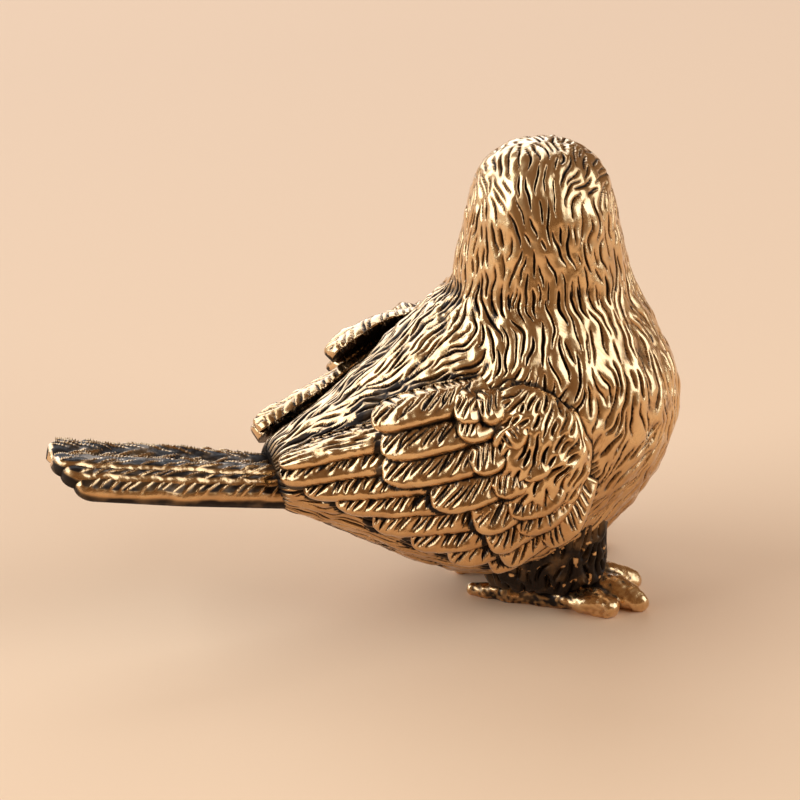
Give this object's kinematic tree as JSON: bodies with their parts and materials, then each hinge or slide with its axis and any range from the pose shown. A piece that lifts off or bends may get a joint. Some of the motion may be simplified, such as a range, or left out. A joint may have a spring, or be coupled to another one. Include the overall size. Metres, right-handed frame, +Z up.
{
  "type": "bird figurine",
  "caption": "Small solid cast brass sparrow, plump and perching on two flat-soled feet, tail out behind, head turned back over its left side.",
  "frame": {"origin": "on the resting surface, under the middle of the bounding box", "axes": "+X is the way the breast faces, +Y the bird's left, +Z up; the tail points to -X and the head faces mostly +Y"},
  "size_m": [0.0566, 0.029, 0.0417],
  "materials": {
    "plumage": "antiqued cast brass, dark in the carved feather lines and rubbed bright on the ridges",
    "wing_feathers": "antiqued cast brass, rubbed bright on the raised feather edges",
    "tail_feathers": "antiqued cast brass, dark patina on top and bright along the rims",
    "beak_and_feet": "smooth cast brass with dark creases",
    "eyes": "small polished brass beads, darkened round the rim"
  },
  "bodies": {
    "root": {"torso": "plumage", "head": "plumage", "right_thigh": "plumage", "left_thigh": "plumage", "upper_beak": "beak_and_feet", "lower_beak": "beak_and_feet", "right_foot": "beak_and_feet", "left_foot": "beak_and_feet", "left_eye": "eyes", "right_eye": "eyes", "right_wing_shoulder": "wing_feathers", "right_wing_coverts": "wing_feathers", "right_flight_feathers": "wing_feathers", "left_wing_shoulder": "wing_feathers", "left_wing_coverts": "wing_feathers", "left_flight_feathers": "wing_feathers", "right_middle_tail_feather": "tail_feathers", "left_middle_tail_feather": "tail_feathers", "right_inner_tail_feather": "tail_feathers", "left_inner_tail_feather": "tail_feathers", "right_outer_tail_feather": "tail_feathers", "left_outer_tail_feather": "tail_feathers"}
  },
  "joints": []
}
